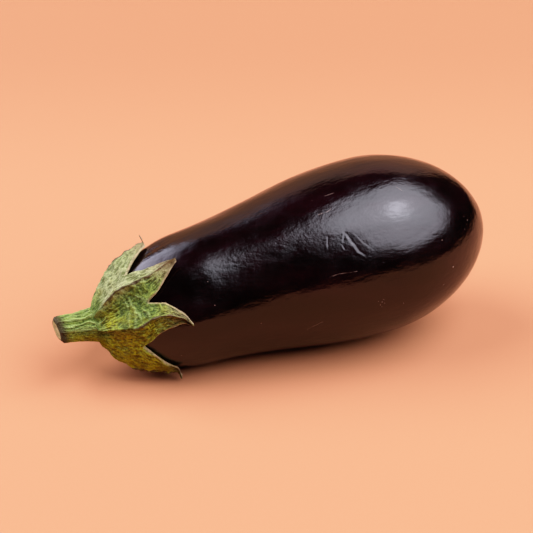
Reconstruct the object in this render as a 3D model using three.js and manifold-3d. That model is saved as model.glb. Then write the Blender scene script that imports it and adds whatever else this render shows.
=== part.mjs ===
// A whole eggplant lying on its side: the fruit, and the green calyx that caps its neck with a stub of stalk.
// Millimetres, +Z up. The stalk points to -X and the blossom end to +X. The fruit rests at z = 0.
import * as THREE from "three";
import { mergeVertices } from "three/addons/utils/BufferGeometryUtils.js";
import Module from "manifold-3d";

const wasm = await Module();
wasm.setup();
const { clamp, lerp, degToRad, radToDeg, smoothstep } = THREE.MathUtils;

// Fruit: stations are measured along its axis from the stalk end
const FRUIT_LENGTH = 186;
const NECK_AT = 40;
const NECK_RADIUS = 31;
const NECK_SLOPE = 0.07; // how fast the radius still grows at the neck
const BELLY_AT = 130;
const BELLY_RADIUS = 42;
const SHOULDER_REACH = 16; // curve handles: how far the outline keeps its direction at each station
const NECK_REACH_IN = 17;
const NECK_REACH_OUT = 41;
const BELLY_REACH_IN = 35;
const BELLY_REACH_OUT = 29;
const BLOSSOM_REACH = 21.5;
const SIDE_BOW = 2.3; // the axis bows this far towards +Y halfway along
const FRUIT_ROWS = 44;
const FRUIT_SEGMENTS = 48;

// Rest: the lean that puts neck and belly on the floor together, and the depth pressed flat there
const REST_LEAN = degToRad(8.2);
const FLAT_DEPTH = 0.4;
const WELD = 1e-3; // corners closer than this are one

// Stalk: its stub stands on the stalk end and bends up a little
const STALK_LENGTH = 21.5;
const STALK_RADIUS = 6.1;
const STALK_LIFT = 2; // its foot sits this far above the fruit's axis
const STALK_RISE = 3; // and its cut end this much higher again
const STALK_RIDGE = 0.55; // height of the ridges that run down into the sepals' keels
const STALK_FLARE = 2; // extra radius at its foot
const CUT_BEVEL = 1.3; // worn rim of the cut end
const CUT_DISH = 0.6; // dried pith sinks this far

// Calyx: distances run over the fruit's skin from the stalk end, and heights stand off the skin
const SKIN_GAP = 0.3;
const ROOT_AT = 7; // the stalk's foot
const ROOT_HEIGHT = 4.2;
const ROOT_FADE = 5; // distance over which the foot's height dies away
const CAP_THICKNESS = 1.9;
const EDGE_THICKNESS = 0.8; // at the sepals' tips
const KEEL_SHARPNESS = 1.25; // above 1 the sides of the fold along a sepal's middle sag inwards
const KEEL_AT_TIP = 0.35; // share of the keel's height that is left at the tip
const KEEL_FROM = -0.35; // shares of the way from foot to cleft between which the keel rises
const KEEL_FULL = 0.5;
const SEPAL_TAPER = 1.25; // above 1 the sides of a sepal curve inwards to its point
const TIP_HALF_WIDTH = 0.9;
const EDGE_CURL = 1.1; // the free edges stand off the skin

// Sepals in order round the neck. Azimuths are in degrees: 0 is +Y, 90 is up and 180 is -Y.
// notch and notchAt place the cleft before each sepal, and tip and tipAt its point. bend swings its middle
// round, lift is how far its point stands off the skin, and keel is the height of the fold along its middle.
const SEPALS = [
  { notch: 30, notchAt: 28, tip: 60, tipAt: 45, bend: 2, lift: 2.2, keel: 3.7 },
  { notch: 94, notchAt: 27, tip: 112, tipAt: 51, bend: 3, lift: 1.8, keel: 3.8 },
  { notch: 138, notchAt: 33, tip: 166, tipAt: 50, bend: -7, lift: 1.2, keel: 3.4 },
  { notch: 186, notchAt: 25.5, tip: 228, tipAt: 43.5, bend: 0, lift: 1.6, keel: 3 },
  { notch: 264, notchAt: 25, tip: 304, tipAt: 45, bend: 0, lift: 0.6, keel: 1.6 },
  { notch: 330, notchAt: 29, tip: 360, tipAt: 49, bend: -3, lift: 1.6, keel: 3.6 },
];
const COLUMNS = 8; // facets across a sepal
const CAP_ROWS = 6;
const SEPAL_ROWS = 6;
// Rows down the stalk, as shares of its length from the cut end and of its radius
const STALK_ROWS = [
  { along: CUT_DISH / STALK_LENGTH, width: 0 },
  { along: 0, width: 1 - CUT_BEVEL / STALK_RADIUS },
  { along: CUT_BEVEL / STALK_LENGTH, width: 1 },
  { along: 0.3, width: 1 },
  { along: 0.55, width: 1 },
  { along: 0.8, width: 1 },
];

const fruitMaterial = new THREE.MeshStandardMaterial({ color: 0x1c0b1a, roughness: 0.22, metalness: 0 });
const calyxMaterial = new THREE.MeshStandardMaterial({ color: 0x7f8c38, roughness: 0.8, metalness: 0 });

// Half outline of the fruit as (radius, station), from the stalk end to the blossom end
const outline = new THREE.Path()
  .moveTo(0, 0)
  .bezierCurveTo(
    SHOULDER_REACH, 0,
    NECK_RADIUS - NECK_REACH_IN * NECK_SLOPE, NECK_AT - NECK_REACH_IN,
    NECK_RADIUS, NECK_AT,
  )
  .bezierCurveTo(
    NECK_RADIUS + NECK_REACH_OUT * NECK_SLOPE, NECK_AT + NECK_REACH_OUT,
    BELLY_RADIUS, BELLY_AT - BELLY_REACH_IN,
    BELLY_RADIUS, BELLY_AT,
  )
  .bezierCurveTo(
    BELLY_RADIUS, BELLY_AT + BELLY_REACH_OUT,
    BLOSSOM_REACH, FRUIT_LENGTH,
    0, FRUIT_LENGTH,
  );
const outlineLength = outline.getLength();

// Sideways place of the axis at a station
function bowAt(station) {
  const share = clamp(station / FRUIT_LENGTH, 0, 1);
  return 4 * SIDE_BOW * share * (1 - share);
}

// Point at a height above the fruit's skin, a distance from the stalk end, at an azimuth in degrees
function aboveSkin(distance, azimuth, height) {
  const share = distance / outlineLength;
  const foot = outline.getPoint(share);
  const along = outline.getTangent(share);
  const radius = foot.x + height * along.y;
  const station = foot.y - height * along.x;
  const turn = degToRad(azimuth);
  return new THREE.Vector3(station, bowAt(foot.y) + radius * Math.cos(turn), radius * Math.sin(turn));
}

// A solid for cutting and joining, from a closed geometry
function solidOf(geometry) {
  const bare = geometry.clone();
  bare.deleteAttribute("normal");
  bare.deleteAttribute("uv");
  const merged = mergeVertices(bare, WELD);
  return new wasm.Manifold(
    new wasm.Mesh({
      numProp: 3,
      vertProperties: merged.attributes.position.array,
      triVerts: new Uint32Array(merged.index.array),
    }),
  );
}

function geometryOf(solid) {
  const { vertProperties, triVerts } = solid.getMesh();
  return new THREE.BufferGeometry()
    .setAttribute("position", new THREE.BufferAttribute(vertProperties, 3))
    .setIndex(new THREE.BufferAttribute(triVerts, 1));
}

// The fruit turned about its bowed axis, which lies on X
function fruitGeometry() {
  const geometry = new THREE.LatheGeometry(outline.getSpacedPoints(FRUIT_ROWS), FRUIT_SEGMENTS);
  geometry.rotateZ(-Math.PI / 2);
  const position = geometry.attributes.position;
  for (let i = 0; i < position.count; i++) {
    position.setY(i, position.getY(i) + bowAt(position.getX(i)));
  }
  return geometry;
}

// Keel of a sepal, from 0 at its sides to 1 along its middle
function keelAt(across) {
  return (1 - Math.abs(across)) ** KEEL_SHARPNESS;
}

// Point on the outside of the stalk: along runs from 0 at the cut end to 1 at the foot
function stalkPoint(azimuth, across, along, width) {
  const rest = 1 - along;
  const radius = STALK_RADIUS + STALK_FLARE * along ** 3 + STALK_RIDGE * (keelAt(across) - 0.5);
  const turn = degToRad(azimuth);
  return new THREE.Vector3(
    -lerp(STALK_LENGTH, ROOT_HEIGHT, along),
    width * radius * Math.cos(turn),
    width * radius * Math.sin(turn) + STALK_LIFT + STALK_RISE * rest,
  );
}

// Place of a sepal's sheet on the skin: along is 0 at the stalk's foot, 1 on the line between the two clefts
// and 2 at the tip, and across runs from -1 to 1
function sepalPlace(index, across, along) {
  const sepal = SEPALS[index];
  const next = SEPALS[(index + 1) % SEPALS.length];
  const nextNotch = next.notch + (index + 1 === SEPALS.length ? 360 : 0);
  const middle = (sepal.notch + nextNotch) / 2;
  const half = (nextNotch - sepal.notch) / 2;
  const cleftAt = lerp(sepal.notchAt, next.notchAt, (across + 1) / 2);
  const inCap = Math.min(along, 1);
  const free = Math.max(along - 1, 0);
  const swing = Math.sin(Math.PI * free);
  const tipHalf = radToDeg(TIP_HALF_WIDTH / NECK_RADIUS);
  const width = half * (1 - free) ** SEPAL_TAPER + tipHalf * free;
  const distance = free > 0 ? lerp(cleftAt, sepal.tipAt, free) : lerp(ROOT_AT, cleftAt, inCap);
  const keelGrowth = smoothstep(inCap, KEEL_FROM, KEEL_FULL) * lerp(1, KEEL_AT_TIP, free);
  const keel = sepal.keel * keelAt(across) * keelGrowth;
  const foot = (ROOT_HEIGHT - CAP_THICKNESS) * Math.exp((ROOT_AT - distance) / ROOT_FADE);
  return {
    azimuth: lerp(middle, sepal.tip, free) + sepal.bend * swing + across * width,
    distance,
    standOff: SKIN_GAP + sepal.lift * free ** 3 + EDGE_CURL * across ** 2 * swing,
    thickness: lerp(CAP_THICKNESS, EDGE_THICKNESS, free) + keel + foot,
  };
}

// Outer and inner points of one sepal's sector of the calyx, row by row from the cut end of the stalk to the
// sepal's tip. On the stalk's stretch the inner points run on over the stalk end of the fruit.
function sectorSheets(index) {
  const outer = [];
  const inner = [];
  const acrossAt = Array.from({ length: COLUMNS + 1 }, (_, column) => (2 * column) / COLUMNS - 1);
  STALK_ROWS.forEach(({ along, width }, row) => {
    const under = (ROOT_AT * row) / STALK_ROWS.length;
    const azimuths = acrossAt.map((across) => sepalPlace(index, across, 0).azimuth);
    outer.push(azimuths.map((azimuth, column) => stalkPoint(azimuth, acrossAt[column], along, width)));
    inner.push(azimuths.map((azimuth) => aboveSkin(under, azimuth, SKIN_GAP)));
  });
  for (let row = 0; row <= CAP_ROWS + SEPAL_ROWS; row++) {
    const along = row <= CAP_ROWS ? row / CAP_ROWS : 1 + (row - CAP_ROWS) / SEPAL_ROWS;
    const places = acrossAt.map((across) => sepalPlace(index, across, along));
    outer.push(places.map((at) => aboveSkin(at.distance, at.azimuth, at.standOff + at.thickness)));
    inner.push(places.map((at) => aboveSkin(at.distance, at.azimuth, at.standOff)));
  }
  return { outer, inner };
}

// The calyx with its stalk as one closed skin: two sheets of the same facets, joined round each sepal's edge
function calyxGeometry() {
  const corners = [];
  const quad = (a, b, c, d) => corners.push(a, b, c, a, c, d);
  for (let index = 0; index < SEPALS.length; index++) {
    const { outer, inner } = sectorSheets(index);
    const lastRow = outer.length - 1;
    for (let row = 0; row < lastRow; row++) {
      for (let left = 0; left < COLUMNS; left++) {
        const [right, below] = [left + 1, row + 1];
        quad(outer[row][left], outer[row][right], outer[below][right], outer[below][left]);
        quad(inner[row][left], inner[below][left], inner[below][right], inner[row][right]);
      }
    }
    // down one free side, across the tip and up the other
    const edge = [];
    for (let row = lastRow - SEPAL_ROWS; row <= lastRow; row++) edge.push([row, 0]);
    for (let column = 1; column <= COLUMNS; column++) edge.push([lastRow, column]);
    for (let row = lastRow - 1; row >= lastRow - SEPAL_ROWS; row--) edge.push([row, COLUMNS]);
    for (let i = 0; i + 1 < edge.length; i++) {
      const [[row, column], [nextRow, nextColumn]] = [edge[i], edge[i + 1]];
      quad(outer[row][column], outer[nextRow][nextColumn], inner[nextRow][nextColumn], inner[row][column]);
    }
  }
  return new THREE.BufferGeometry().setFromPoints(corners);
}

// Lays the fruit down: turned so that neck and belly touch the floor, and lowered by the depth pressed flat
const laid = new THREE.Group();
laid.rotation.y = -REST_LEAN;
laid.updateMatrix();
const round = fruitGeometry();
const turned = round.clone().applyMatrix4(laid.matrix);
turned.computeBoundingBox();
laid.position.z = -turned.boundingBox.min.z - FLAT_DEPTH;
laid.updateMatrix();

const floor = new THREE.BoxGeometry(2 * FRUIT_LENGTH, 2 * FRUIT_LENGTH, FRUIT_LENGTH);
floor.translate(0, 0, -FRUIT_LENGTH / 2);
floor.applyMatrix4(laid.matrix.clone().invert());

const fruit = new THREE.Mesh(geometryOf(solidOf(round).subtract(solidOf(floor))), fruitMaterial);
fruit.name = "fruit";
const calyx = new THREE.Mesh(geometryOf(solidOf(calyxGeometry())), calyxMaterial);
calyx.name = "calyx";
laid.add(fruit, calyx);

// The origin is on the floor under the middle of the whole eggplant
const middle = new THREE.Box3().setFromObject(laid, true).getCenter(new THREE.Vector3());
laid.position.x -= middle.x;
laid.position.y -= middle.y;

const eggplant = new THREE.Group();
eggplant.add(laid);
export default eggplant;
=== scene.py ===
# A whole eggplant lying on pale paper between two large soft lights.
# Metres, +Z up. The stalk points to -X, and the side that the picture shows faces -Y.
import math

import bpy
import numpy as np
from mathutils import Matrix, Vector


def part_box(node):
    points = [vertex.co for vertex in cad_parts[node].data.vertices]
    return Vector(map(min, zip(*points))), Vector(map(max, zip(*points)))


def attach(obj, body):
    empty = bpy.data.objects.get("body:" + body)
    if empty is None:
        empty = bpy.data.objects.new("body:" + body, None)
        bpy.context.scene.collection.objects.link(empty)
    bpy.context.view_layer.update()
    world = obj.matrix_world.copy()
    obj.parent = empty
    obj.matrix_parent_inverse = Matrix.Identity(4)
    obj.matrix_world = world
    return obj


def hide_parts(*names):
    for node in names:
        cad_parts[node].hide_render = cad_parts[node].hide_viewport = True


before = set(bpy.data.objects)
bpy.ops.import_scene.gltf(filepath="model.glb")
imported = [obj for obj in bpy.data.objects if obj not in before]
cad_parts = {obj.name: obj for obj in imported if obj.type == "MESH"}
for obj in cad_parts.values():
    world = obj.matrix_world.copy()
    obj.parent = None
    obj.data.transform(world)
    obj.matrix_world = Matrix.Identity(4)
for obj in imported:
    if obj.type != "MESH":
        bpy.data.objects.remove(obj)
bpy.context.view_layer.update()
MM = 0.001

# Fruit: stations along its axis from the stalk end, as in the solid
FRUIT_LENGTH = 186 * MM
NECK_AT = 40 * MM
NECK_RADIUS = 31 * MM
NECK_SLOPE = 0.07
BELLY_AT = 130 * MM
BELLY_RADIUS = 42 * MM
SHOULDER_REACH = 16 * MM
NECK_REACH_IN = 17 * MM
NECK_REACH_OUT = 41 * MM
BELLY_REACH_IN = 35 * MM
BELLY_REACH_OUT = 29 * MM
BLOSSOM_REACH = 21.5 * MM
SIDE_BOW = 2.3 * MM
REST_LEAN = math.radians(8.2)
FLAT_DEPTH = 0.4 * MM
SLOPE_STEP = 0.05 * MM  # over which the slope of the outline is measured
REST_ROWS = 800  # steps along the skin, and degrees round it, in which its lowest place is looked for
REST_TURN = 0.5

# Fruit mesh: coarse steps all over, fine ones across the creased side of the belly
ROW_STEP = 0.6 * MM
FINE_ROW_STEP = 0.26 * MM
FINE_ROWS = (113 * MM, 136 * MM)
COLUMN_STEP = 1.3  # columns are in degrees
FINE_COLUMN_STEP = 0.38
FINE_COLUMNS = (98, 206)

# Skin relief
WAVE_LENGTHS = (0.75, 1.35)  # shortest and longest wave in a relief, as shares of its wave length
WAVE_PEAK = 1.6  # a relief seldom goes past this many times its spread
SWELL_HEIGHT = 0.12 * MM
SWELL_LENGTH = 34 * MM
RIPPLE_HEIGHT = 0.05 * MM
RIPPLE_LENGTH = 9 * MM
CRINKLE_HEIGHT = 0.012 * MM
CRINKLE_LENGTH = 3.2 * MM
LENGTHWISE = 0.45  # relief is drawn out along the fruit by this share
STALK_END_FADE = 30 * MM
BLOSSOM_END_FADE = 25 * MM
SCAR_RADIUS = 3.2 * MM
SCAR_DEPTH = 0.7 * MM
SHOULDER_DIP = 1.3 * MM  # the skin dips a little toward the calyx, and rises again under it
SHOULDER_DISTANCES = (22 * MM, 46 * MM, 46 * MM, 64 * MM)
SHOULDER_AZIMUTHS = (60, 80, 138, 168)

# Creases: places along each as (distance from the stalk end in mm, azimuth in degrees). The depth, and the
# widths of the gentle slope down and of the steep bank up, are in mm. The lip is a share of the depth.
CREASES = [
    dict(path=[(125.4, 131.5), (126.6, 138.9), (127.6, 143.2), (129.9, 149.3), (133, 155)],
         depth=0.2, slope=1.9, bank=1.2, lip=0.18),
    dict(path=[(126, 134.6), (124.6, 138.1), (123.2, 142)], depth=0.11, slope=0.8, bank=0.8, lip=0.25),
    dict(path=[(123.1, 141.6), (123.7, 146.8)], depth=0.07, slope=0.6, bank=0.6, lip=0.15),
    dict(path=[(118.4, 133.5), (117, 138.7), (116.2, 144)], depth=0.08, slope=0.6, bank=0.7, lip=0.2),
    dict(path=[(129, 136.1), (132, 143.2), (135.4, 151)], depth=0.04, slope=0.9, bank=0.7, lip=0.3),
]
CREASE_ENDS = (0, 0.35, 0.65, 1)  # a crease deepens and dies out over these shares of its length
CREASE_WANDER = 0.2 * MM
CREASE_WANDER_LENGTH = 5 * MM
DENT_AT = (121, 150)
DENT_RADIUS = 8 * MM
DENT_DEPTH = 0.12 * MM

# Pale scuffs and specks on the skin, placed as the creases are, with widths and radii in mm
SCUFFS = [
    dict(path=[(113.5, 160), (118, 159.6), (126, 161)], width=0.2),
    dict(path=[(46.4, 132.5), (52.1, 131.3), (58, 130.5)], width=0.17),
    dict(path=[(97.3, 202.5), (101.4, 197), (107.4, 193)], width=0.2),
    dict(path=[(117.6, 118.5), (121.7, 118.6), (123.9, 117.5)], width=0.2),
    dict(path=[(124, 106.5), (128.3, 106.5)], width=0.22),
    dict(path=[(156.3, 115.5), (158.5, 120)], width=0.2),
]
SPECKS = [
    (173.5, 181.5, 0.5), (167.1, 192, 0.3), (135.2, 186.5, 0.34), (136.4, 188, 0.28), (134.3, 188.6, 0.3),
    (136, 184.8, 0.24), (133.5, 185.3, 0.26), (134.9, 190.2, 0.24), (145.4, 192.5, 0.28), (169.3, 158, 0.34),
    (53.5, 128, 0.42), (49.3, 146, 0.5), (61, 158, 0.32), (79.6, 183.5, 0.3), (43.5, 174, 0.34),
    (42, 201, 0.36), (61, 138, 0.32), (189.2, 150, 0.36), (185.4, 157, 0.3), (187, 146, 0.32),
    (187.6, 153.5, 0.24),
]

# Stalk
STALK_LENGTH = 21.5 * MM
STALK_RADIUS = 6.1 * MM
STALK_LIFT = 2 * MM
STALK_RISE = 3 * MM
STALK_RIDGE = 0.75 * MM
STALK_FLARE = 2 * MM
CUT_BEVEL = 1.3 * MM
CUT_DISH = 0.6 * MM
CUT_SLANT = 0.16
CUT_DOTS = 14
CUT_DOTS_AT = 0.4
CUT_DOTS_WIDTH = 0.12
CUT_DOTS_UNEVEN = 0.3
CUT_EDGE = (0.62, 0.76)  # shares of the stalk's radius
CUT_RIM_FADE = (0.08, 0.3)  # shares of the stalk's length
STALK_ROUGH_FROM = 0.8
STALK_CREST_POWER = 4

# Calyx: distances run over the skin from the stalk end, and heights stand off the skin
SKIN_GAP = 0.3 * MM
ROOT_AT = 7 * MM
ROOT_HEIGHT = 4.2 * MM
ROOT_FADE = 5 * MM
CAP_THICKNESS = 1.9 * MM
EDGE_THICKNESS = 0.7 * MM
KEEL_LIT_SIDE = 1.15  # how fast a keel falls away on its upper side, and on its lower side
KEEL_LOW_SIDE = 2.3
KEEL_AT_TIP = 0.35
KEEL_FROM = -0.35
KEEL_FULL = 0.5
CREST_HEIGHT = 0.4 * MM
CREST_WIDTH = 0.07
CREST_WANDER = 0.07
CREST_WAVES = [(1, 5.1, 2), (0.5, 13, 1), (0.15, 31, 3)]  # size, pace, shift from sepal to sepal
CREST_BENDS = (0.2, 0.8, 1.5, 1.9)  # places along a sepal run from 0 at the stalk's foot to 2 at the tip
CREST_UNEVEN = (0.45, 23, 1.7)
CREST_GROWS = 0.3
CREST_DIES = (1.75, 2)
SEPAL_TAPER = 1.25
TIP_HALF_WIDTH = 1.15 * MM
EDGE_CURL = 0.4 * MM
RIM_WIDTH = 0.65 * MM
RIM_LIFT = 0.25 * MM
RIM_MOST = 0.8  # the rim takes at most this share of half a sepal
RIM_FROM = 0.04
RIM_WAVE = 0.8
RIM_SMOOTHER = 0.7
RIM_THINNER = 0.5
LEAST_THICKNESS = 0.3 * MM
MARGIN_WAVE = 0.05
MARGIN_WAVES = [(1, 11, 2.3, 1.9), (0.3, 27, 1, 0)]  # size, pace, shift from sepal to sepal and side to side
TIP_NARROWER = 0.35
TIP_DRY = (0.2, 0.92)
TIP_CURL_FROM = 0.8
TIP_CURL_POWER = 1.5
TIP_ROLL = 0.24 * MM  # a dry point that curls up is rolled, and thicker
SEPALS = [
    dict(notch=30, notch_at=28, tip=60, tip_at=45, bend=2, lift=0.2, keel=3.4,
         low=-1, curl=(-1.7, 3.3, -1), crest_from=0.6),
    dict(notch=94, notch_at=27, tip=112, tip_at=51, bend=3, lift=1.8, keel=3.8,
         low=1, curl=(0, 0.4, 2), crest_from=0.25),
    dict(notch=138, notch_at=33, tip=164, tip_at=50, bend=-6, lift=1.2, keel=3.4,
         low=1, curl=(0, 0.6, 3), crest_from=0.65, aside=-0.22),
    dict(notch=186, notch_at=25.5, tip=228, tip_at=43.5, bend=0, lift=0.9, keel=3,
         low=1, curl=(-0.6, 2.4, 4), crest_from=0.6),
    dict(notch=264, notch_at=25, tip=304, tip_at=45, bend=0, lift=0.6, keel=1.6,
         low=-1, curl=(0, 0, 0), crest_from=0.6),
    dict(notch=330, notch_at=29, tip=360, tip_at=49, bend=-3, lift=1.6, keel=3.6,
         low=-1, curl=(-1, 1.5, 2), crest_from=0.5),
]
FLOOR_GAP = 0.4 * MM
WELD = 0.004 * MM  # points nearer than this are one
SECTOR_COLUMNS = 64
CUT_ROWS = 12
STALK_SIDE_ROWS = 40
CAP_ROWS = 60
SEPAL_ROWS = 72

# Calyx relief: lengthwise wrinkles and veins, ribs, lumps and grain
WRINKLES = [(37, 0.07), (53, 0.08), (71, 0.05)]  # ridges round the stalk, height in mm
WRINKLE_DRIFT = 9 * MM
WRINKLE_SWAY = (1.3, 2.1)  # size, shift from set to set
WRINKLE_FADE = (0.4, 1.7, 1.3)  # size, pace, shift from set to set
WRINKLE_LOST_AT_TIP = 0.5
VEIN_HEIGHT = 0.38 * MM
VEIN_MEAN = 0.6
VEIN_LENGTH = 2.3 * MM
VEIN_WAVES = 18
VEIN_DRAWN = 0.6  # veins are drawn out along a sepal by this share
FLOW_RADIUS = 22 * MM
RIB_HEIGHT = 0.8 * MM
RIB_WIDTH = 0.5 * MM
RIB_WANDER = 0.3 * MM
RIB_WANDER_LENGTH = 5 * MM
RIB_MEAN = 0.8
RIB_UNEVEN = 0.4
RIB_LEAST = 0.3
RIB_RISE = 8  # how fast a rib rises from its ends
STALK_RIBS = [(70, 0.6), (94, 0.9), (116, 0.8), (137, 0.9), (152, 0.5)]  # azimuth in degrees, strength
STALK_RIB_WIDTH = 4.5  # degrees
STALK_RIB_WANDER = 4  # degrees
STALK_RIB_DISTANCES = (-14 * MM, -10 * MM, 8 * MM, 15 * MM)
RIBS = [  # strength, and places along each as for the creases
    (0.9, [(23.2, 121), (23.8, 137), (23.9, 147), (23.9, 160), (25.3, 167)]),
    (1.0, [(24.8, 121), (26.8, 139), (26.9, 150), (25.6, 164)]),
    (0.9, [(25.8, 139), (28.3, 146), (29.8, 155), (30, 162)]),
    (0.7, [(28.5, 126), (31.3, 133), (34.6, 138)]),
    (0.7, [(30.5, 142), (32.5, 149), (33, 156)]),
    (0.25, [(15.3, 160), (16.7, 175), (16.7, 194)]),
    (0.5, [(8, 112), (12, 118), (17, 126)]),
    (0.5, [(8, 150), (12, 145), (17, 139)]),
]
CALM_AZIMUTHS = (120, 126, 154, 164)  # the valley between two keels, where the lengthwise wrinkles die out
CALM_DISTANCES = (18 * MM, 22 * MM, 33 * MM, 38 * MM)
CALM_SHARE = 0.5
LUMP_HEIGHT = 0.25 * MM
LUMP_LENGTH = 6 * MM
GRAIN_HEIGHT = 0.11 * MM
GRAIN_LENGTH = 1.4 * MM
GRAIN_WAVES = 24
STALK_GRAIN_HEIGHT = 0.6 * GRAIN_HEIGHT
LIT_AZIMUTHS = (15, 100, 113, 124)  # the side of the calyx that faces the lights, which is painted paler: painted light
LIT_DISTANCES = (8 * MM, 17 * MM)
STALK_GREENER = 0.35  # how far the yellow of the lower side keeps off the stalk
YELLOW_RISE = 0.3  # how far the yellow of the lower side climbs near the stalk's foot
YELLOW_DISTANCES = (9 * MM, 13 * MM, 19 * MM, 25 * MM)

# Colours
SKIN_DARK = (0.0014, 0.0003, 0.0003, 1)
SKIN_PLUM = (0.0060, 0.0011, 0.0018, 1)
SKIN_IOR = 1.47
SKIN_MARK = (0.22, 0.15, 0.12, 1)
SCAR_TAN = (0.10, 0.062, 0.03, 1)
SCAR_PALE = (0.26, 0.19, 0.11, 1)
LEAF_GREEN = (0.158, 0.215, 0.031, 1)
LEAF_DEEP = (0.032, 0.052, 0.004, 1)
# Paler greens painted on the side of the calyx that faces the lights: painted light
LEAF_PALE_PAINTED_LIGHT = (0.285, 0.30, 0.13, 1)
LEAF_SAGE_PAINTED_LIGHT = (0.105, 0.117, 0.032, 1)
LEAF_RIB = (0.25, 0.32, 0.095, 1)
LEAF_YELLOW = (0.28, 0.29, 0.006, 1)
LEAF_OCHRE = (0.12, 0.105, 0.003, 1)
LEAF_BROWN = (0.055, 0.032, 0.014, 1)
LEAF_TAN = (0.16, 0.105, 0.05, 1)
LEAF_RIM = (0.33, 0.24, 0.13, 1)
LEAF_SPECK = (0.022, 0.018, 0.004, 1)
LEAF_SPECULAR = 0.25
CUT_CREAM = (0.47, 0.40, 0.17, 1)
CUT_RIM = (0.036, 0.028, 0.007, 1)
PAPER = (0.41, 0.162, 0.079, 1)
# The paper painted darker further from the camera: painted shade
PAPER_BACK_PAINTED_SHADE = (0.342, 0.136, 0.065, 1)
PAPER_FIBRE = (0.46, 0.20, 0.11, 1)
WALL_PAPER = (0.42, 0.24, 0.13, 1)
WALL_UPPER = (0.42, 0.28, 0.21, 1)
PAPER_SEEN = (1.1, 0.46, 0.265, 1)
ROOM = (1, 0.8, 0.75, 1)
ROOM_STRENGTH = 0.02

# Patterns: size and detail of the noise, the span over which it fades in, and from what to what
SKIN_DRAWN = (0.3, 1, 1)
SKIN_TONES = (16 * MM, 4, 0.35, 0.7)
SKIN_STREAKS = (2.2 * MM, 4, 0.5, 0.75, 0, 0.4)
SKIN_WAX = (7 * MM, 4, 0.3, 0.7, 0.13, 0.21)
DULL_ROUGHNESS = 0.35  # added where the skin is marked
LEATHER_DRAWN = (0.55, 1, 1)
LEATHER = (1.7 * MM, 4)
LEATHER_FINE = (0.9 * MM, 3)
LEATHER_FINE_SHARE = 0.35
LEATHER_BUMP = 0.11 * MM
SCAR_RAGGED = (1.5 * MM, 3)
SCAR_RAGGED_DEPTH = 3 * MM
SCAR_EDGE = (2.6 * MM, 4.8 * MM)
SCAR_CORK = (1.1 * MM, 3, 0.4, 0.65)
MARK_NUDGES = (1.6 * MM, 2)
MARK_NUDGE = 0.5 * MM
SCUFF_PATCHES = (2.5 * MM, 2, 0.3, 0.6, 0.15, 1)
SCUFF_EDGE = (0.3, 1.5)  # shares of a scuff's width
SCUFF_STRENGTH = 0.3
SPECK_EDGE = 0.35  # share of a speck's radius
SPECK_STRENGTH = 0.75
SKIN_FLECKS = (7 * MM, 0.22 * MM, 0.3)  # size of a cell, radius, share of the cells that have one
SKIN_FLECK_STRENGTH = 0.5
FLECK_SMALLEST = 0.5  # share of the radius
FLECK_EDGE = 0.6
FIBRE = (1.1 * MM, 4)
PEBBLE = (0.75 * MM, 3)
MOTTLE = (2.2 * MM, 5)
PATCH = (8 * MM, 3)
GRAIN_TONE = 0.06
VEIN_TONE = 0.3
LEAF_TONES = (0.45, 0.9)
RIB_PEBBLES = (0.3, 0.6, 0.4, 0.95)
STALK_RIDGE_TONE = 0.8
YELLOW_PATCHES = (0.3, 0.7, -0.35, 0.35)
YELLOW_HEIGHTS = (-0.7, 0.2)
YELLOW_MOTTLE = (0.3, 0.55, 0.5, 1)
CREST_PEBBLES = 0.9
CREST_DRY = (0.75, 1.1)
CREST_BROWN = 0.85
TIP_BROWN = 0.8
# over these heights the dry tips run from tan on the upper side to darker brown on the lower side; the
# darker brown is painted shade
TIP_HEIGHTS = (-0.75, 0.1)
RIM_MOTTLE = (0.35, 0.6, 0.4, 0.95)
WIDE_SPOTS = (2.4 * MM, 0.62 * MM, 0.8)  # as the skin's flecks
SMALL_SPOTS = (1.1 * MM, 0.36 * MM, 0.6)
SPOT_PATCHES = (0.35, 0.6, 0.35, 0.9)
CUT_DOTS_BROWN = 0.7
LEAF_ROUGHNESS = (0.3, 0.7, 0.5, 0.75)
LEAF_BUMP = 1.3 * MM
PAPER_FIBRES = (1.2 * MM, 3, 0.3, 0.7, 0, 0.06)
PAPER_ROUGHNESS = 0.9
PAPER_SPECULAR = 0.1

# Camera, as the picture was taken
VIEW_AZIMUTH = math.radians(-18.45)
VIEW_ELEVATION = math.radians(30)
VIEW_DISTANCE = 0.7
VIEW_TARGET = Vector((-1.8, 2.4, 39)) * MM
LENS = 101.4
SENSOR = 36

# The picture's contrast, as shares of white: the darkest tones are deepened and the brightest eased
TONES = [
    (0, 0), (0.01, 0.0047), (0.02, 0.0125), (0.04, 0.03), (0.075, 0.066), (0.12, 0.115), (0.2, 0.205),
    (0.4, 0.41), (0.6, 0.595), (0.8, 0.75), (1, 0.86), (1.2, 0.93), (1.45, 0.98), (1.8, 1),
]

# Stage. Light azimuths run to the right of the camera, and a spread is the radius over the distance.
CLOTH_DISTANCE = 1.5
LAMP_DISTANCE = 2.4
LIGHT_TINT = (0.97, 0.96, 1.09)
LIGHT_AIM = Vector((0, 0, 40 * MM))
KEY = dict(azimuth=62, elevation=55, spread=0.87, power=109)
KEY_CORE_AT = (0.512, 0.57, 0)  # places on a cloth run from 0 to 1 over its width and its height
KEY_CORE_RADIUS = 0.152
KEY_CORE_GAIN = 1.6
KEY_CLOTH_RADIUS = 0.464
KEY_CLOTH_GAIN = 1.35
KEY_RIM_GAIN = 0.9
KEY_MIDDLE = (0.53, 0.515, 0)
KEY_ACROSS = (2.43, -0.49, 0)  # gives 1 at the sides of the cloth, which slant a little
KEY_UPWARD = (0, 2, 0)
KEY_SQUARENESS = 4
KEY_EDGE = (0.25, 1.1)
KEY_ROUND_AT = (0.56, 0.44, 0)
KEY_ROUND_EDGE = (0.47, 0.57)
KEY_LAMP = dict(azimuth=78, elevation=53, spread=0.62, power=188)
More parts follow.
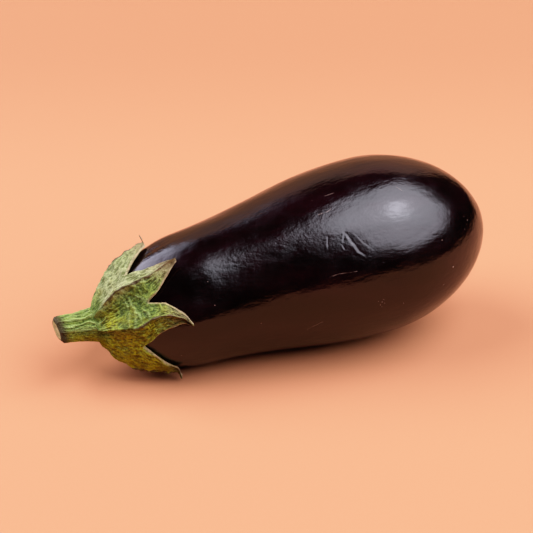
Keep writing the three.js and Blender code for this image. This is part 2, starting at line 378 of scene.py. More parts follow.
FILL = dict(azimuth=-106, elevation=40, spread=0.75, power=90)
FILL_TINT = (0.96, 0.93, 1.15)
FILL_SLANT = (0.94, -0.34, 0)  # across the slanted edge of the cloth
FILL_SLANT_EDGE = (-0.19, -0.07)
FILL_TOP_EDGE = (0.42, 0.79)  # heights over which the cloth fades out
FILL_FAR_EDGE = (0.82, 0.95)
FILL_LAMP = dict(azimuth=-100, elevation=46, spread=0.48, power=114)
PAPER_FRONT = 0.42
PAPER_SHADE_DRIFT = (0.13, 0.39)  # distances away from the camera over which the paper is painted darker, as painted shade
PAPER_HALF_WIDTH = 0.45
FAR_PAPER = 6.0
BACKDROP_AT = 1.0
BACKDROP_LEFT = -0.58
BACKDROP_RIGHT = 0.6
BACKDROP_TOP = 1.1
BACKDROP_FADE = (0.3, 0.8)  # heights over which the backdrop changes its tint


def lerp(a, b, t):
    return a + (b - a) * t


def smoothstep(x, low, high):
    t = np.clip((x - low) / (high - low), 0, 1)
    return t * t * (3 - 2 * t)


# Rises between the first two stops and falls between the last two
def window(x, stops):
    return smoothstep(x, stops[0], stops[1]) * (1 - smoothstep(x, stops[2], stops[3]))


# Smooth random relief between about -1 and 1: a sum of plane waves of like length in random directions
def waves(points, length, seed, count=14):
    rng = np.random.default_rng(seed)
    directions = rng.normal(size=(count, 3))
    directions /= np.linalg.norm(directions, axis=1, keepdims=True)
    lengths = length * rng.uniform(*WAVE_LENGTHS, count)
    phases = rng.uniform(0, 2 * math.pi, count)
    total = np.zeros(points.shape[:-1])
    for direction, wave, phase in zip(directions, lengths, phases):
        total += np.cos(points @ direction * (2 * math.pi / wave) + phase)
    return total / math.sqrt(count / 2) / WAVE_PEAK


# Steps from start up to end, finer inside a span
def graded(start, end, step, fine_span, fine_step):
    stretches = [
        (start, fine_span[0], step),
        (fine_span[0], fine_span[1], fine_step),
        (fine_span[1], end, step),
    ]
    return np.concatenate([np.linspace(a, b, round((b - a) / s), endpoint=False) for a, b, s in stretches])


# Half outline of the fruit: distances over the skin, stations and radii
def outline_table(steps=400):
    corners = [
        [(0, 0), (0, SHOULDER_REACH), (NECK_AT - NECK_REACH_IN, NECK_RADIUS - NECK_REACH_IN * NECK_SLOPE),
         (NECK_AT, NECK_RADIUS)],
        [(NECK_AT, NECK_RADIUS), (NECK_AT + NECK_REACH_OUT, NECK_RADIUS + NECK_REACH_OUT * NECK_SLOPE),
         (BELLY_AT - BELLY_REACH_IN, BELLY_RADIUS), (BELLY_AT, BELLY_RADIUS)],
        [(BELLY_AT, BELLY_RADIUS), (BELLY_AT + BELLY_REACH_OUT, BELLY_RADIUS),
         (FRUIT_LENGTH, BLOSSOM_REACH), (FRUIT_LENGTH, 0)],
    ]
    t = np.linspace(0, 1, steps)[:, None]
    curves = []
    for a, b, c, d in np.array(corners, float):
        curves.append((1 - t) ** 3 * a + 3 * (1 - t) ** 2 * t * b + 3 * (1 - t) * t ** 2 * c + t ** 3 * d)
    points = np.vstack([curves[0], curves[1][1:], curves[2][1:]])
    distance = np.concatenate([[0], np.cumsum(np.linalg.norm(np.diff(points, axis=0), axis=1))])
    return distance, points[:, 0], points[:, 1]


OUTLINE = outline_table()
OUTLINE_LENGTH = OUTLINE[0][-1]


def station_at(distance):
    return np.interp(distance, OUTLINE[0], OUTLINE[1])


def radius_at(distance):
    return np.interp(distance, OUTLINE[0], OUTLINE[2])


def bow_at(station):
    share = np.clip(station / FRUIT_LENGTH, 0, 1)
    return 4 * SIDE_BOW * share * (1 - share)


# Points at a height above the skin, a distance from the stalk end, at an azimuth in degrees
def above_skin(distance, azimuth, height=0.0):
    station = station_at(distance)
    ahead = np.minimum(distance + SLOPE_STEP, OUTLINE_LENGTH)
    behind = np.maximum(distance - SLOPE_STEP, 0)
    run = station_at(ahead) - station_at(behind)
    climb = radius_at(ahead) - radius_at(behind)
    size = np.hypot(run, climb)
    out = radius_at(distance) + height * run / size
    turn = np.radians(azimuth)
    return np.stack(
        [station - height * climb / size, bow_at(station) + out * np.cos(turn), out * np.sin(turn)], axis=-1
    )


# Lays points of the upright fruit's frame down on the floor, in the frame of the solids
def lean(points):
    x, y, z = np.moveaxis(points, -1, 0)
    c, s = math.cos(REST_LEAN), math.sin(REST_LEAN)
    return np.stack([x * c - z * s, y, x * s + z * c], axis=-1)


# How far the leaning fruit is moved to lie where the solid lies
def rest_shift():
    rows = np.linspace(0, OUTLINE_LENGTH, REST_ROWS)
    distance, azimuth = np.meshgrid(rows, np.arange(0, 360, REST_TURN), indexing="ij")
    skin = lean(above_skin(distance, azimuth)).reshape(-1, 3)
    low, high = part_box("fruit")
    middle = (np.array(low) + np.array(high)) / 2
    shift = middle - (skin.min(axis=0) + skin.max(axis=0)) / 2
    shift[2] = -skin[:, 2].min() - FLAT_DEPTH
    return shift


REST_SHIFT = rest_shift()


def lay(points):
    return lean(points) + REST_SHIFT


# A point on the skin of the lying fruit, from a distance in mm and an azimuth
def skin_point(distance, azimuth):
    return Vector(lay(above_skin(distance * MM, azimuth)))


def add_object(name, data):
    piece = bpy.data.objects.new(name, data)
    bpy.context.scene.collection.objects.link(piece)
    return piece


# A mesh object from a list of points and faces, shaded smooth
def mesh_object(name, points, faces, attributes=None):
    mesh = bpy.data.meshes.new(name)
    mesh.from_pydata([tuple(p) for p in points], [], [tuple(f) for f in faces])
    mesh.polygons.foreach_set("use_smooth", [True] * len(mesh.polygons))
    for key, values in (attributes or {}).items():
        values = np.asarray(values, np.float32)
        if values.ndim == 1:
            mesh.attributes.new(key, "FLOAT", "POINT").data.foreach_set("value", values)
        else:
            mesh.attributes.new(key, "FLOAT_VECTOR", "POINT").data.foreach_set("vector", values.ravel())
    mesh.update()
    return add_object(name, mesh)


# Offsets over the skin from a place, along the fruit and round it
def skin_offset(distance, azimuth, place):
    return distance - place[0] * MM, np.radians(azimuth - place[1]) * radius_at(place[0] * MM)


# Distance of places from a path over the skin, on which side of it they lie, and how far along it
def beside_path(distance, azimuth, path):
    nearest = np.full_like(distance, 1.0)
    side = np.zeros_like(distance)
    reach = np.zeros_like(distance)
    legs = len(path) - 1
    for leg in range(legs):
        x, y = skin_offset(distance, azimuth, path[leg])
        run, rise = skin_offset(path[leg + 1][0] * MM, path[leg + 1][1], path[leg])
        along = np.clip((x * run + y * rise) / (run ** 2 + rise ** 2), 0, 1)
        gap = np.hypot(x - along * run, y - along * rise)
        closer = gap < nearest
        nearest = np.where(closer, gap, nearest)
        side = np.where(closer, np.sign(x * rise - y * run), side)
        reach = np.where(closer, (leg + along) / legs, reach)
    return nearest, side, reach


# Creases: the skin slopes in gently from one side and turns up steeply to a low lip on the other
def crease_relief(distance, azimuth, wander):
    relief = np.zeros_like(distance)
    for crease in CREASES:
        nearest, side, reach = beside_path(distance, azimuth, crease["path"])
        offset = (nearest * side + wander) / MM
        slope = np.exp(-np.maximum(offset, 0) / crease["slope"])
        lip = np.exp(-(np.maximum(-offset - crease["bank"], 0) / crease["bank"]) ** 2)
        height = lerp(-slope, crease["lip"] * lip, smoothstep(-offset, 0, crease["bank"]))
        relief += crease["depth"] * MM * height * window(reach, CREASE_ENDS)
    return relief


def fruit_relief(distance, azimuth):
    skin = above_skin(distance, azimuth)
    drawn = skin * (LENGTHWISE, 1, 1)
    from_blossom = OUTLINE_LENGTH - distance
    ends = smoothstep(distance, 0, STALK_END_FADE) * smoothstep(from_blossom, 0, BLOSSOM_END_FADE)
    even = (
        SWELL_HEIGHT * waves(drawn, SWELL_LENGTH, seed=3)
        + RIPPLE_HEIGHT * waves(drawn, RIPPLE_LENGTH, seed=8)
        + CRINKLE_HEIGHT * waves(drawn, CRINKLE_LENGTH, seed=9)
    )
    dip = window(distance, SHOULDER_DISTANCES) * window(azimuth, SHOULDER_AZIMUTHS)
    shoulder = -SHOULDER_DIP * dip
    scar = -SCAR_DEPTH * np.exp(-(from_blossom / SCAR_RADIUS) ** 2)
    x, y = skin_offset(distance, azimuth, DENT_AT)
    dent = -DENT_DEPTH * np.exp(-(x ** 2 + y ** 2) / DENT_RADIUS ** 2)
    wander = CREASE_WANDER * waves(skin, CREASE_WANDER_LENGTH, seed=21)
    return even * ends + shoulder + scar + dent + crease_relief(distance, azimuth, wander)


def build_fruit():
    rows = graded(ROW_STEP, OUTLINE_LENGTH - ROW_STEP / 2, ROW_STEP, FINE_ROWS, FINE_ROW_STEP)
    columns = graded(0, 360, COLUMN_STEP, FINE_COLUMNS, FINE_COLUMN_STEP)
    distance, azimuth = np.meshgrid(rows, columns, indexing="ij")
    body = lay(above_skin(distance, azimuth, fruit_relief(distance, azimuth))).reshape(-1, 3)
    poles = lay(np.array([[0, 0, 0], [FRUIT_LENGTH - SCAR_DEPTH, 0, 0]]))
    points = np.vstack([body, poles])
    points[:, 2] = np.maximum(points[:, 2], 0)
    round_count = len(columns)
    faces = []
    for row in range(len(rows) - 1):
        near, far = row * round_count, (row + 1) * round_count
        for column in range(round_count):
            right = (column + 1) % round_count
            faces.append((near + column, far + column, far + right, near + right))
    first, last = len(body), len(body) + 1
    end = (len(rows) - 1) * round_count
    for column in range(round_count):
        right = (column + 1) % round_count
        faces.append((first, column, right))
        faces.append((last, end + right, end + column))
    return mesh_object("eggplant_fruit", points, faces)


# Where the ridge of a keel wanders to, across its sepal
def crest_middle(along, index):
    wander = sum(size * np.sin(pace * along + shift * index) for size, pace, shift in CREST_WAVES)
    return CREST_WANDER * wander * window(along, CREST_BENDS) + SEPALS[index].get("aside", 0)


# Keel of a sepal, from 0 at its sides to 1 along its middle, steeper on the side that faces down
def keel_at(across, low_side):
    steepness = np.where(across * low_side > 0, KEEL_LOW_SIDE, KEEL_LIT_SIDE)
    return (1 - np.abs(across)) ** steepness


# The dry line along a keel, thick and thin by turns
def crest_at(across, along, index):
    size, pace, shift = CREST_UNEVEN
    width = CREST_WIDTH * (1 + size * np.sin(pace * along + shift * index))
    starts = SEPALS[index]["crest_from"]
    line = np.exp(-(across / width) ** 2)
    return line * window(along, (starts, starts + CREST_GROWS, *CREST_DIES))


# A sepal, the next one, and the middle and half width of its sector in degrees
def sector_of(index):
    sepal = SEPALS[index]
    following = SEPALS[(index + 1) % len(SEPALS)]
    next_notch = following["notch"] + (360 if index + 1 == len(SEPALS) else 0)
    middle = (sepal["notch"] + next_notch) / 2
    return sepal, following, middle, (next_notch - sepal["notch"]) / 2


# Lengthwise wrinkles that run from the stalk into the sepals
def wrinkles(sector_azimuth, distance):
    total = np.zeros_like(distance)
    way = distance / WRINKLE_DRIFT
    sway, sway_shift = WRINKLE_SWAY
    lost, pace, shift = WRINKLE_FADE
    for number, (count, height) in enumerate(WRINKLES):
        drift = sway * np.sin(way + sway_shift * number)
        strength = (1 - lost) + lost * np.cos(way * pace + shift * number)
        total += height * MM * strength * np.cos(np.radians(count * sector_azimuth) + drift + number)
    return total


# Sharp-backed veins between about 0 and 1
def veins(flow):
    return 1 - np.abs(waves(flow, VEIN_LENGTH, seed=11, count=VEIN_WAVES))


# Ribs in the valley between two keels
def rib_at(azimuth, distance, place):
    wander = RIB_WANDER * waves(place, RIB_WANDER_LENGTH, seed=15)
    uneven = RIB_MEAN + RIB_UNEVEN * waves(place, RIB_WANDER_LENGTH / 2, seed=16)
    total = np.zeros_like(distance)
    for strength, path in RIBS:
        nearest, side, reach = beside_path(distance, azimuth, path)
        ends = np.clip(RIB_RISE * reach * (1 - reach), 0, 1)
        ridge = np.exp(-((nearest * side + wander) / RIB_WIDTH) ** 2)
        total = np.maximum(total, strength * ends * ridge)
    return total * np.clip(uneven, RIB_LEAST, 1)


# Pale ribs along the stalk, which run out on the cap
def stalk_ribs_at(azimuth, distance, place):
    wander = STALK_RIB_WANDER * waves(place, RIB_WANDER_LENGTH, seed=17)
    total = np.zeros_like(azimuth)
    for middle, strength in STALK_RIBS:
        ridge = np.exp(-((azimuth - middle + wander) / STALK_RIB_WIDTH) ** 2)
        total = np.maximum(total, strength * ridge)
    return total * window(distance, STALK_RIB_DISTANCES)


# Places on a straightened calyx, for patterns that run from the stalk to the tips
def flow_place(sector_azimuth, distance):
    turn = np.radians(sector_azimuth)
    return np.stack(
        [FLOW_RADIUS * np.cos(turn), FLOW_RADIUS * np.sin(turn), VEIN_DRAWN * distance], axis=-1
    )


# Waves of a sepal's two margins
def margin_waves(free, index, across):
    side = np.sign(across)
    return sum(size * np.sin(pace * free + a * index + b * side) for size, pace, a, b in MARGIN_WAVES)


# A sepal's sheet: outer and inner points and what its colours go by. Along is 0 at the stalk's foot, 1 on
# the line between the two clefts and 2 at the tip, and across runs from -1 to 1.
def sepal_sheet(index, across, along):
    sepal, following, middle, half = sector_of(index)
    cleft_at = lerp(sepal["notch_at"], following["notch_at"], (across + 1) / 2) * MM
    in_cap = np.minimum(along, 1)
    free = np.maximum(along - 1, 0)
    swing = np.sin(math.pi * free)
    curl = smoothstep(free, TIP_CURL_FROM, 1) ** TIP_CURL_POWER
    curl_back, curl_up, curl_round = sepal["curl"]
    side_wave = margin_waves(free, index, across)
    tip_half = math.degrees(TIP_HALF_WIDTH / NECK_RADIUS)
    width = half * (1 - free) ** SEPAL_TAPER + tip_half * free * (1 - TIP_NARROWER * curl)
    width = width * (1 + MARGIN_WAVE * side_wave * swing)
    distance = np.where(
        free > 0, lerp(cleft_at, sepal["tip_at"] * MM, free), lerp(ROOT_AT, cleft_at, in_cap)
    )
    azimuth = lerp(middle, sepal["tip"], free) + sepal["bend"] * swing
    azimuth = azimuth + across * width + curl_round * curl
    half_width = np.radians(width) * radius_at(distance)
    rim = smoothstep(np.abs(across), 1 - np.minimum(RIM_WIDTH / half_width, RIM_MOST), 1) * (free > 0)
    rim = rim * smoothstep(free, 0, RIM_FROM)
    growth = smoothstep(in_cap, KEEL_FROM, KEEL_FULL) * lerp(1, KEEL_AT_TIP, free)
    from_crest = np.clip(across - crest_middle(along, index) * (1 - across ** 2), -1, 1)
    keel = sepal["keel"] * MM * keel_at(from_crest, sepal["low"]) * growth
    crest = crest_at(from_crest, along, index)
    foot = (ROOT_HEIGHT - CAP_THICKNESS) * np.exp((ROOT_AT - distance) / ROOT_FADE)
    place = above_skin(distance, azimuth)
    rib = np.maximum(rib_at(azimuth, distance, place), stalk_ribs_at(azimuth, distance, place))
    rib = rib * (1 - rim)
    flow = flow_place(middle + across * half, distance)
    smoother = 1 - CALM_SHARE * window(azimuth, CALM_AZIMUTHS) * window(distance, CALM_DISTANCES)
    vein = veins(flow) * smoother
    grain = waves(place, GRAIN_LENGTH, seed=6, count=GRAIN_WAVES)
    relief = (
        wrinkles(middle + across * half, distance) * (1 - WRINKLE_LOST_AT_TIP * free) * smoother
        + LUMP_HEIGHT * waves(place, LUMP_LENGTH, seed=5)
        + GRAIN_HEIGHT * grain
        + VEIN_HEIGHT * (vein - VEIN_MEAN * smoother)
        + RIB_HEIGHT * rib
        + CREST_HEIGHT * crest
    ) * (1 - RIM_SMOOTHER * rim)
    stand_off = SKIN_GAP + sepal["lift"] * MM * free ** 3 + EDGE_CURL * across ** 2 * swing
    stand_off = stand_off + RIM_LIFT * rim * (1 + RIM_WAVE * side_wave) + curl_up * MM * curl
    thickness = lerp(CAP_THICKNESS, EDGE_THICKNESS, free) * lerp(1, RIM_THINNER, rim) + keel + foot + relief
    thickness = np.maximum(thickness, LEAST_THICKNESS) + TIP_ROLL * curl_up * curl
    distance = distance + curl_back * MM * curl
    marks = dict(
        crest=crest, rim=rim, rib=rib, flow=flow, vein=vein, grain=grain,
        tip=smoothstep(free, *TIP_DRY),
        # Painted light: the side of the sepals that faces the lights is painted paler
        lit=window(azimuth % 360, LIT_AZIMUTHS) * smoothstep(distance, *LIT_DISTANCES),
        low=-np.sin(np.radians(azimuth)) + YELLOW_RISE * window(distance, YELLOW_DISTANCES),
    )
    outer = above_skin(distance, azimuth, stand_off + thickness)
    inner = above_skin(distance, azimuth, stand_off)
    return outer, inner, marks


# The stalk's side and its cut end: along runs from the cut to the foot, and inset is 1 on the side and less
# than 1 over the cut
def stalk_points(index, across, along, inset):
    sepal, _, middle, half = sector_of(index)
    azimuth = middle + across * half
    ridge = keel_at(across, sepal["low"])
    turn = np.radians(azimuth)
    slant = CUT_SLANT * STALK_RADIUS * inset * np.cos(turn) * (1 - along)
    height = -lerp(STALK_LENGTH, ROOT_HEIGHT, along) - slant
    radius = STALK_RADIUS + STALK_FLARE * along ** 3 + STALK_RIDGE * (ridge - 0.5)
    side_place = np.stack([height, STALK_RADIUS * np.cos(turn), STALK_RADIUS * np.sin(turn)], axis=-1)
    grain = waves(side_place, GRAIN_LENGTH, seed=6, count=GRAIN_WAVES)
    rib = stalk_ribs_at(azimuth, ROOT_AT - (1 - along) * STALK_LENGTH, side_place)
    from_foot = ROOT_AT - along * STALK_LENGTH
    rough = wrinkles(azimuth, from_foot) + STALK_GRAIN_HEIGHT * grain + RIB_HEIGHT * rib
    radius = radius + rough * smoothstep(inset, STALK_ROUGH_FROM, 1)
    rise = STALK_LIFT + STALK_RISE * (1 - along)
    points = np.stack(
        [height, inset * radius * np.cos(turn), inset * radius * np.sin(turn) + rise], axis=-1
    )
    ring = np.exp(-((inset - CUT_DOTS_AT) / CUT_DOTS_WIDTH) ** 2)
    dotted = (1 - CUT_DOTS_UNEVEN) + CUT_DOTS_UNEVEN * np.cos(CUT_DOTS * turn)
    cut = 1 - smoothstep(inset, *CUT_EDGE)
    flow = flow_place(azimuth, from_foot)
    marks = dict(
        cut=cut, flow=flow, grain=grain, vein=veins(flow),
        crest=ridge ** STALK_CREST_POWER,
        rib=rib * (1 - cut),
        dots=ring * dotted * cut,
        stalk=np.ones_like(azimuth),
        low=-np.sin(turn) - STALK_GREENER,
        # Painted light on the side that faces the lights, which the leaf material leaves off the stalk
        lit=window(azimuth % 360, LIT_AZIMUTHS),
        cut_rim=(1 - smoothstep(along, *CUT_RIM_FADE)) * (1 - cut),
    )
    return points, marks


# What the calyx's colours go by, kept at each point of its mesh
MARKS = (
    "crest", "rim", "tip", "rib", "vein", "grain", "lit", "low", "cut", "dots", "stalk", "cut_rim", "flow",
)


# Both sheets of one sector of the calyx, from the middle of the cut to the tip of the sepal
def sector_sheets(index):
    across = np.linspace(-1, 1, SECTOR_COLUMNS + 1)
    inset = np.linspace(0, 1, CUT_ROWS)
    cut_along = CUT_DISH / STALK_LENGTH * (1 - inset)
    side_along = np.linspace(CUT_BEVEL / STALK_LENGTH, 1, STALK_SIDE_ROWS, endpoint=False)
    stalk_along = np.concatenate([cut_along, side_along])
    stalk_inset = np.concatenate([inset * (1 - CUT_BEVEL / STALK_RADIUS), np.ones(STALK_SIDE_ROWS)])
    grid_across, grid_along = np.meshgrid(across, stalk_along)
    _, grid_inset = np.meshgrid(across, stalk_inset)
    stalk, stalk_marks = stalk_points(index, grid_across, grid_along, grid_inset)
    _, _, middle, half = sector_of(index)
    under = ROOT_AT * np.arange(len(stalk_along)) / len(stalk_along)
    _, grid_under = np.meshgrid(across, under)
    below = above_skin(grid_under, middle + grid_across * half, SKIN_GAP)
    along = np.concatenate([np.linspace(0, 1, CAP_ROWS + 1), np.linspace(1, 2, SEPAL_ROWS + 1)[1:]])
    leaf_across, leaf_along = np.meshgrid(across, along)
    outer, inner, leaf_marks = sepal_sheet(index, leaf_across, leaf_along)
    marks = {}
    for key in MARKS:
        stalk_part = stalk_marks.get(key, np.zeros_like(grid_along))
        leaf_part = leaf_marks.get(key, np.zeros_like(leaf_along))
        marks[key] = np.concatenate([stalk_part, leaf_part])
    return np.concatenate([stalk, outer]), np.concatenate([below, inner]), marks


def build_calyx():
    points, faces, lookup = [], [], {}
    values = {key: [] for key in MARKS}

    def add(point, marks, row, column):
        key = tuple(np.round(point / WELD).astype(int))
        if key not in lookup:
            lookup[key] = len(points)
            points.append(point)
            for name in MARKS:
                values[name].append(marks[name][row, column])
        return lookup[key]

    def number(sheet, marks):
        rows, columns = sheet.shape[:2]
        return [[add(sheet[r, c], marks, r, c) for c in range(columns)] for r in range(rows)]

    for index in range(len(SEPALS)):
        outer, inner, marks = sector_sheets(index)
        top = number(outer, marks)
        bottom = number(inner, marks)
        last = len(top) - 1
        for row in range(last):
            near, far = top[row], top[row + 1]
            near_below, far_below = bottom[row], bottom[row + 1]
            for left in range(SECTOR_COLUMNS):
                right = left + 1
                faces.append((near[left], near[right], far[right], far[left]))
                faces.append((near_below[left], far_below[left], far_below[right], near_below[right]))
        edge = [(row, 0) for row in range(last - SEPAL_ROWS, last + 1)]
        edge += [(last, column) for column in range(1, SECTOR_COLUMNS + 1)]
        edge += [(row, SECTOR_COLUMNS) for row in range(last - 1, last - SEPAL_ROWS - 1, -1)]
        for (r0, c0), (r1, c1) in zip(edge, edge[1:]):
            faces.append((top[r0][c0], top[r1][c1], bottom[r1][c1], bottom[r0][c0]))
    whole = [list(dict.fromkeys(face)) for face in faces]
    whole = [face for face in whole if len(face) > 2]
    laid = lay(np.array(points))
    laid[:, 2] = np.maximum(laid[:, 2], FLOOR_GAP)
    return mesh_object("eggplant_calyx", laid, whole, values)


# Shader nodes: each helper adds one step and gives the socket with its result
def put(tree, socket, value):
    if isinstance(value, bpy.types.NodeSocket):
        tree.links.new(value, socket)
    else:
        socket.default_value = value


def add_step(tree, kind, values, **settings):
    step = tree.nodes.new("ShaderNode" + kind)
    for name, setting in settings.items():
        setattr(step, name, setting)
    for name, value in values.items():
        put(tree, step.inputs[name], value)
    return step


def calculate(tree, operation, first, second=0.0, clamp=False):
    step = add_step(tree, "Math", {0: first, 1: second}, operation=operation, use_clamp=clamp)
    return step.outputs["Value"]


def plus(tree, first, second, clamp=False):
    return calculate(tree, "ADD", first, second, clamp)


def times(tree, first, second, clamp=False):
    return calculate(tree, "MULTIPLY", first, second, clamp)


def larger(tree, first, second):
    return calculate(tree, "MAXIMUM", first, second)


def vector_step(tree, operation, first, second):
    other = "Scale" if operation == "SCALE" else 1
    step = add_step(tree, "VectorMath", {0: first, other: second}, operation=operation)
    return step.outputs["Value" if operation in ("DISTANCE", "DOT_PRODUCT") else "Vector"]


def blend(tree, share, first, second):
    return add_step(tree, "Mix", {0: share, 6: first, 7: second}, data_type="RGBA").outputs[2]


def fade(tree, value, low, high, start=0.0, end=1.0):
    values = {"Value": value, "From Min": low, "From Max": high, "To Min": start, "To Max": end}
    return add_step(tree, "MapRange", values, interpolation_type="SMOOTHSTEP").outputs["Result"]


def noise(tree, place, size, detail, output="Fac"):
    values = {"Vector": place, "Scale": 1 / size, "Detail": detail}
    return add_step(tree, "TexNoise", values).outputs[output]


def pattern(tree, place, size, detail, *span):
    return fade(tree, noise(tree, place, size, detail), *span)


# Round flecks scattered in cells, of which a share has one
def flecks(tree, place, cell, radius, share):
    step = add_step(tree, "TexVoronoi", {"Vector": place, "Scale": 1 / cell})
    apart = add_step(tree, "SeparateColor", {"Color": step.outputs["Color"]})
    chosen = calculate(tree, "LESS_THAN", apart.outputs["Red"], share)
    size = fade(tree, apart.outputs["Green"], 0, 1, FLECK_SMALLEST * radius / cell, radius / cell)
    reach = calculate(tree, "DIVIDE", step.outputs["Distance"], size)
    inside = calculate(tree, "SUBTRACT", 1, reach, clamp=True)
    return times(tree, fade(tree, inside, 0, FLECK_EDGE), chosen)


def attribute(tree, name, output="Fac"):
    return add_step(tree, "Attribute", {}, attribute_name=name).outputs[output]


def bump(tree, height, depth):
    values = {"Strength": 1, "Distance": depth, "Height": height}
    return add_step(tree, "Bump", values).outputs["Normal"]


# A material, its nodes, its shader, and the places on the object that patterns go by
def new_material(name):
    material = bpy.data.materials.new(name)
    material.use_nodes = True
    tree = material.node_tree
    place = add_step(tree, "TexCoord", {}).outputs["Object"]
    return material, tree, tree.nodes["Principled BSDF"], place


# Distance from a place to a straight stroke between two points
def stroke_distance(tree, place, start, end):
    reach = end - start
    from_start = vector_step(tree, "SUBTRACT", place, start)
    along = vector_step(tree, "DOT_PRODUCT", from_start, reach / reach.length_squared)
    kept = times(tree, along, 1, clamp=True)
    return vector_step(tree, "DISTANCE", from_start, vector_step(tree, "SCALE", reach, kept))


# Scuffs, specks and flecks: 0 on clean skin
def skin_marks(tree, place):
    unsteady = noise(tree, place, *MARK_NUDGES, "Color")
    centred = vector_step(tree, "SUBTRACT", unsteady, (0.5, 0.5, 0.5))
    moved = vector_step(tree, "ADD", place, vector_step(tree, "SCALE", centred, MARK_NUDGE))
    total = None
    for scuff in SCUFFS:
        corners = [skin_point(*corner) for corner in scuff["path"]]
        edge = [share * scuff["width"] * MM for share in SCUFF_EDGE]
        for start, end in zip(corners, corners[1:]):
            line = fade(tree, stroke_distance(tree, moved, start, end), *edge, SCUFF_STRENGTH, 0)
            total = line if total is None else larger(tree, total, line)
    total = times(tree, total, pattern(tree, place, *SCUFF_PATCHES))
    for distance, azimuth, radius in SPECKS:
        gap = vector_step(tree, "DISTANCE", moved, skin_point(distance, azimuth))
        dot = fade(tree, gap, SPECK_EDGE * radius * MM, radius * MM, SPECK_STRENGTH, 0)
        total = larger(tree, total, dot)
    return larger(tree, total, times(tree, flecks(tree, place, *SKIN_FLECKS), SKIN_FLECK_STRENGTH))


def skin_material():
    material, tree, shader, place = new_material("skin")
    drawn = vector_step(tree, "MULTIPLY", place, SKIN_DRAWN)
    streaks = pattern(tree, drawn, *SKIN_STREAKS)
    tone = plus(tree, pattern(tree, drawn, *SKIN_TONES), streaks, clamp=True)
    marks = skin_marks(tree, place)
    scar_gap = vector_step(tree, "DISTANCE", place, skin_point(OUTLINE_LENGTH / MM, 0))
    ragged = times(tree, noise(tree, place, *SCAR_RAGGED), SCAR_RAGGED_DEPTH)
    scar = fade(tree, plus(tree, scar_gap, ragged), *SCAR_EDGE, 1, 0)
    colour = blend(tree, tone, SKIN_DARK, SKIN_PLUM)
    colour = blend(tree, marks, colour, SKIN_MARK)
    cork = blend(tree, pattern(tree, place, *SCAR_CORK), SCAR_TAN, SCAR_PALE)
    colour = blend(tree, scar, colour, cork)
    put(tree, shader.inputs["Base Color"], colour)
    dull = times(tree, larger(tree, marks, scar), DULL_ROUGHNESS)
    put(tree, shader.inputs["Roughness"], plus(tree, pattern(tree, place, *SKIN_WAX), dull))
    shader.inputs["IOR"].default_value = SKIN_IOR
    fine = times(tree, noise(tree, place, *LEATHER_FINE), LEATHER_FINE_SHARE)
    leathery = vector_step(tree, "MULTIPLY", place, LEATHER_DRAWN)
    grain = plus(tree, noise(tree, leathery, *LEATHER), fine)
    put(tree, shader.inputs["Normal"], bump(tree, grain, LEATHER_BUMP))
    return material


def leaf_material():
    material, tree, shader, place = new_material("leaf")
    fibre = noise(tree, attribute(tree, "flow", "Vector"), *FIBRE)
    pebble = noise(tree, place, *PEBBLE)
    mottle = noise(tree, place, *MOTTLE)
    patch = noise(tree, place, *PATCH)
    crest = attribute(tree, "crest")
    stalk = attribute(tree, "stalk")
    low = attribute(tree, "low")
    rough = plus(tree, times(tree, fibre, 0.5), times(tree, pebble, 0.5))
    raised = plus(tree, rough, times(tree, attribute(tree, "grain"), GRAIN_TONE))
    raised = plus(tree, raised, times(tree, attribute(tree, "vein"), VEIN_TONE))
    tone = fade(tree, raised, *LEAF_TONES)
    # Painted light: the side of the calyx that faces the lights is painted paler, but not the stalk
    lit = times(tree, attribute(tree, "lit"), fade(tree, stalk, 0, 1, 1, 0))
    ribs = times(tree, attribute(tree, "rib"), fade(tree, pebble, *RIB_PEBBLES))
    ridges = times(tree, times(tree, crest, stalk), STALK_RIDGE_TONE)
    sunk = plus(tree, low, fade(tree, patch, *YELLOW_PATCHES))
    yellow = times(tree, fade(tree, sunk, *YELLOW_HEIGHTS), fade(tree, mottle, *YELLOW_MOTTLE))
    ragged = plus(tree, crest, times(tree, pebble, CREST_PEBBLES))
    dry = times(tree, fade(tree, ragged, *CREST_DRY), fade(tree, stalk, 0, 1, CREST_BROWN, 0))
    # Dry tips are tan and brown; painting them darker on the lower side is painted shade
    dry_tip_and_painted_shade = blend(tree, fade(tree, low, *TIP_HEIGHTS), LEAF_TAN, LEAF_BROWN)
    spots = larger(tree, flecks(tree, place, *WIDE_SPOTS), flecks(tree, place, *SMALL_SPOTS))
    layers = [
        # Painted light: paler greens where the lights fall
        (lit, blend(tree, tone, LEAF_SAGE_PAINTED_LIGHT, LEAF_PALE_PAINTED_LIGHT)),
        (larger(tree, ribs, ridges), LEAF_RIB),
        (yellow, blend(tree, tone, LEAF_OCHRE, LEAF_YELLOW)),
        (dry, LEAF_BROWN),
        (times(tree, attribute(tree, "tip"), TIP_BROWN), dry_tip_and_painted_shade),
        (times(tree, attribute(tree, "rim"), fade(tree, mottle, *RIM_MOTTLE)), LEAF_RIM),
        (times(tree, spots, fade(tree, patch, *SPOT_PATCHES)), LEAF_SPECK),
        (attribute(tree, "cut_rim"), CUT_RIM),
        (attribute(tree, "cut"), CUT_CREAM),
        (times(tree, attribute(tree, "dots"), CUT_DOTS_BROWN), LEAF_BROWN),
    ]
    colour = blend(tree, tone, LEAF_DEEP, LEAF_GREEN)
    for share, layer in layers:
        colour = blend(tree, share, colour, layer)
    put(tree, shader.inputs["Base Color"], colour)
    put(tree, shader.inputs["Roughness"], fade(tree, mottle, *LEAF_ROUGHNESS))
    shader.inputs["Specular IOR Level"].default_value = LEAF_SPECULAR
    put(tree, shader.inputs["Normal"], bump(tree, rough, LEAF_BUMP))
    return material


